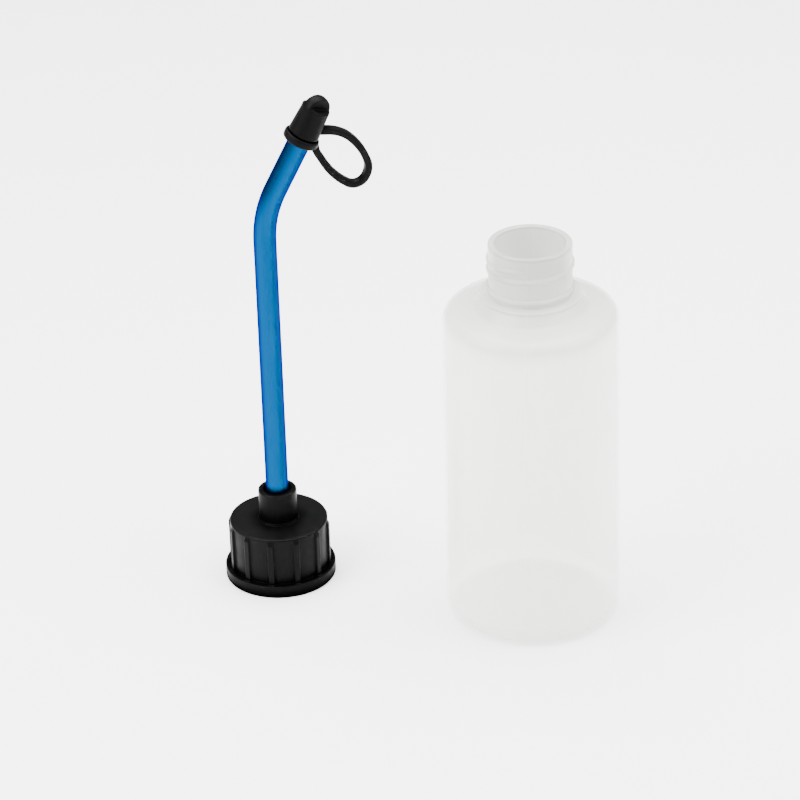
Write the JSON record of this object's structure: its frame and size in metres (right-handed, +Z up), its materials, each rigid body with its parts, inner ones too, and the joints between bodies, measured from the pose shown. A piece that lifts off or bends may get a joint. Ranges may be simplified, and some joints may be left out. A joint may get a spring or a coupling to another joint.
{
  "type": "squeeze filler bottle with screw-on spout",
  "caption": "Translucent squeeze bottle for oil, with its ribbed screw cap, bent metal spout and tethered tip cap standing beside it.",
  "frame": {"origin": "centre of the bottle's foot, on the surface that the bottle and the cap stand on", "axes": "+Z up along the bottle's axis, -X towards the cap that stands beside it, -Y towards the viewer"},
  "size_m": [0.1652, 0.0863, 0.2171],
  "materials": {
    "bottle_plastic": "translucent natural polyethylene, satin",
    "cap_plastic": "black moulded, satin",
    "gasket_rubber": "smooth black",
    "spout_metal": "satin blue anodised",
    "tip_rubber": "matte black"
  },
  "bodies": {
    "bottle": {"bottle": "bottle_plastic"},
    "cap_seal": {"cap_gasket": "gasket_rubber"},
    "cap": {"screw_cap": "cap_plastic"},
    "spout": {"spout_tube": "spout_metal", "spout_o_ring": "gasket_rubber"},
    "tip_tether": {"strap_ring": "tip_rubber", "tip_strap": "tip_rubber"},
    "tip_plug": {"tip_cap": "tip_rubber"}
  },
  "joints": [
    {"name": "cap_lift", "type": "slide", "parent": "bottle", "child": "cap_seal", "axis": [0, 0, 1], "range_m": [0, 0.17]},
    {"name": "cap_turn", "type": "hinge", "parent": "cap_seal", "child": "cap", "pos_m": [-0.1063, 0.0274, 0.02], "axis": [0, 0, 1], "continuous": true},
    {"name": "spout_swivel", "type": "hinge", "parent": "cap", "child": "spout", "pos_m": [-0.1063, 0.0274, 0.035], "axis": [0, 0, 1], "continuous": true},
    {"name": "tip_turn", "type": "hinge", "parent": "spout", "child": "tip_tether", "pos_m": [-0.08986, 0.0274, 0.19898], "axis": [0.4462, 0, 0.8949], "continuous": true},
    {"name": "tip_cap_pull", "type": "slide", "parent": "tip_tether", "child": "tip_plug", "axis": [0.4462, 0, 0.8949], "range_m": [0, 0.014], "deforming": ["tip_strap"]}
  ]
}
